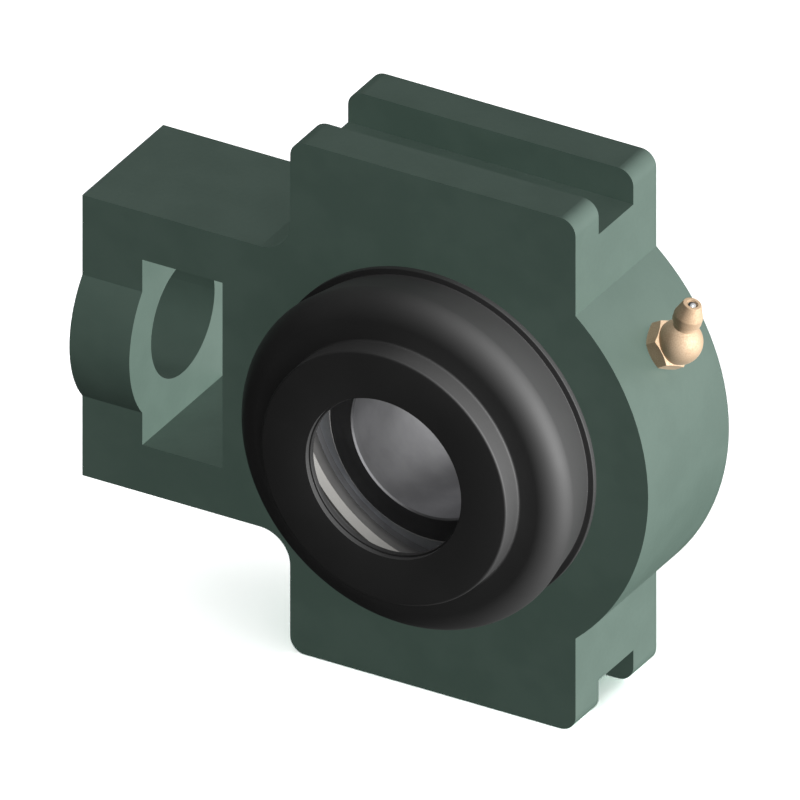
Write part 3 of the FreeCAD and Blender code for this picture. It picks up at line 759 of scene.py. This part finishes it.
# %% Turned parts of the grease nipple
NIPPLE_ANGLE = math.radians(30)
NIPPLE_BASE = 43.5
KNEE_REACH = 4.1
KNEE_RADIUS = 4.1
HEAD_LEAN = math.radians(43)
THREAD_RADIUS = 3.0
THREAD_LENGTH = 6.5
THREAD_PITCH = 1.0
THREAD_DEPTH = 0.54
CREST_WIDTH = 0.12 * THREAD_PITCH
ROOT_START = 0.56 * THREAD_PITCH
STUB_TOP = 1.0
TURNED_STEPS = 96

head_place = Matrix.Translation((0, 0, KNEE_REACH * MM)) @ Matrix.Rotation(-HEAD_LEAN, 4, "Y")


def thread_profile():
    """A stub with the crests and roots of a thread, from its tip up into the hexagon."""
    root = THREAD_RADIUS - THREAD_DEPTH
    points = [(0, -THREAD_LENGTH), (root, -THREAD_LENGTH)]
    for turn in range(int(THREAD_LENGTH / THREAD_PITCH) - 1):
        crest = -THREAD_LENGTH + (turn + 0.5) * THREAD_PITCH
        points += [(THREAD_RADIUS, crest), (THREAD_RADIUS, crest + CREST_WIDTH)]
        points.append((root, crest + ROOT_START))
    return points + [(root, STUB_TOP), (0, STUB_TOP)]


KNEE_PROFILE = arc((0, KNEE_REACH), KNEE_RADIUS, -90, 90, steps=48)
NECK_FOOT, NECK_TOP = 1.0, 4.35
COLLAR_FOOT, COLLAR_TOP = 4.75, 6.1
HEAD_TOP = 8.7
NECK_RADIUS, COLLAR_RADIUS, TIP_RADIUS = 2.1, 2.6, 1.65
TURNED_BEND, COLLAR_BEND = 0.15, 0.4
HEAD_PROFILE = rounded([
    (0, NECK_FOOT),
    (NECK_RADIUS, NECK_FOOT),
    (NECK_RADIUS, NECK_TOP, TURNED_BEND),
    (COLLAR_RADIUS, COLLAR_FOOT, TURNED_BEND),
    (COLLAR_RADIUS, COLLAR_TOP, COLLAR_BEND),
    (TIP_RADIUS, HEAD_TOP, TURNED_BEND),
    (0, HEAD_TOP),
])

BORE_FLOOR, BORE_ROOF, BORE_RADIUS = 3.4, 8.2, 1.5
MOUTH_RADIUS, MOUTH_OPENS, CUT_RADIUS, CUT_TOP = 1.05, 8.62, 1.15, 9.0
BORE_PROFILE = [
    (0, BORE_FLOOR),
    (BORE_RADIUS, BORE_FLOOR),
    (BORE_RADIUS, BORE_ROOF),
    (MOUTH_RADIUS, BORE_ROOF),
    (MOUTH_RADIUS, MOUTH_OPENS),
    (CUT_RADIUS, CUT_TOP),
    (0, CUT_TOP),
]


def turned(profile, place=Matrix.Identity(4)):
    mesh = bmesh.new()
    spin(mesh, profile, place, steps=TURNED_STEPS, closed=False)
    return mesh


print("points in the profile of the head:", len(HEAD_PROFILE))

# %% [markdown]
# Hexagon, thread, knee and head are closed shells of their own. Laying them into each other would
# look right from outside, but the real one is one piece of brass, so boolean modifiers join them
# into one closed body.

# %% Join the parts of the nipple


def combined(name, base, steps):
    """One closed mesh: the base shell, with the others joined to it or cut from it in turn."""
    body = bpy.data.objects.new(name, mesh_data(name, base))
    tools = []
    for operation, shell in steps:
        tool = bpy.data.objects.new(f"{name}_tool", mesh_data(f"{name}_tool", shell))
        modifier = body.modifiers.new(operation.lower(), "BOOLEAN")
        modifier.operation = operation
        modifier.object = tool
        modifier.solver = "EXACT"
        tools.append(tool)
    for thing in (body, *tools):
        bpy.context.scene.collection.objects.link(thing)
    graph = bpy.context.evaluated_depsgraph_get()
    data = bpy.data.meshes.new_from_object(body.evaluated_get(graph))
    for thing in (body, *tools):
        bpy.data.objects.remove(thing)
    return data


brass = combined("grease_nipple_brass", hexagon(), [
    ("UNION", turned(thread_profile())),
    ("UNION", turned(KNEE_PROFILE)),
    ("UNION", turned(HEAD_PROFILE, head_place)),
    ("DIFFERENCE", turned(BORE_PROFILE, head_place)),
])
outwards = Matrix.Rotation(math.pi / 2 - NIPPLE_ANGLE, 4, "Y")
nipple_place = outwards @ Matrix.Translation((0, 0, NIPPLE_BASE * MM))
brass.transform(nipple_place)
make_piece("grease_nipple_brass", brass, "housing", "nipple_brass", "grease_nipple", sharp=28)

# %% [markdown]
# Inside the head a coil spring presses the check ball against the lip. When the coupler pushes
# the ball in, the coils close up. The last turn at each end is closed, which gives the spring a
# flat seat.

# %% Spring of the check ball
COIL_RADIUS = 0.95
WIRE_RADIUS = 0.125
COIL_FOOT = 3.555
COIL_HEIGHT = 3.068
COIL_TURNS = 6
CLOSED_PITCH = 0.27
TURN_STEPS = 32
WIRE_SIDES = 12
SMALL_STEP = 0.01


def coil_point(turns):
    """The middle of the wire after so many turns, with one closed turn at each end."""
    open_pitch = (COIL_HEIGHT - 2 * CLOSED_PITCH) / (COIL_TURNS - 2)
    rise = min(turns, 1) * CLOSED_PITCH + max(min(turns, COIL_TURNS - 1) - 1, 0) * open_pitch
    rise += max(turns - COIL_TURNS + 1, 0) * CLOSED_PITCH
    angle = 2 * math.pi * turns
    return Vector((COIL_RADIUS * math.cos(angle), COIL_RADIUS * math.sin(angle), COIL_FOOT + rise))


def coiled_wire():
    mesh = bmesh.new()
    rings = []
    for step in range(COIL_TURNS * TURN_STEPS + 1):
        turns = step / TURN_STEPS
        middle = coil_point(turns)
        along = (coil_point(turns + SMALL_STEP) - coil_point(turns - SMALL_STEP)).normalized()
        out = Vector((middle.x, middle.y, 0)).normalized()
        up = along.cross(out)
        ring = []
        for side in range(WIRE_SIDES):
            angle = 2 * math.pi * side / WIRE_SIDES
            spot = middle + (out * math.cos(angle) + up * math.sin(angle)) * WIRE_RADIUS
            ring.append(mesh.verts.new(spot * MM))
        rings.append(ring)
    for here, there in zip(rings, rings[1:]):
        for side in range(WIRE_SIDES):
            after = (side + 1) % WIRE_SIDES
            mesh.faces.new((here[side], there[side], there[after], here[after]))
    mesh.faces.new(rings[0])
    mesh.faces.new(rings[-1])
    return mesh


coil = mesh_data("check_spring_coil", coiled_wire())
coil_place = nipple_place @ head_place
coil.transform(coil_place)
coil_ends = [coil_place @ Vector((0, 0, z * MM)) for z in (COIL_FOOT, COIL_FOOT + COIL_HEIGHT)]
coil_bodies = ("housing", "nipple_ball", *coil_ends)
make_piece(coil.name, coil, coil_bodies, slots["nipple_spring"], "nipple_spring")

# %% [markdown]
# Sharp edges don't exist on a casting: every corner of the pattern is eased, and the paint rounds
# it further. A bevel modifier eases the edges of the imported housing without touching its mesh.

# %% Ease the edges of the housing
EDGE_EASE = 0.35
EASED_FROM = math.radians(40)


def ease_edges(thing, width_mm):
    bevel = thing.modifiers.new("eased_edges", "BEVEL")
    bevel.width = width_mm * MM
    bevel.segments = 2
    bevel.limit_method = "ANGLE"
    bevel.angle_limit = EASED_FROM
    bevel.harden_normals = True


housing = frame["nodes"]["housing"]
ease_edges(housing, EDGE_EASE)
print("housing faces:", len(housing.data.polygons))
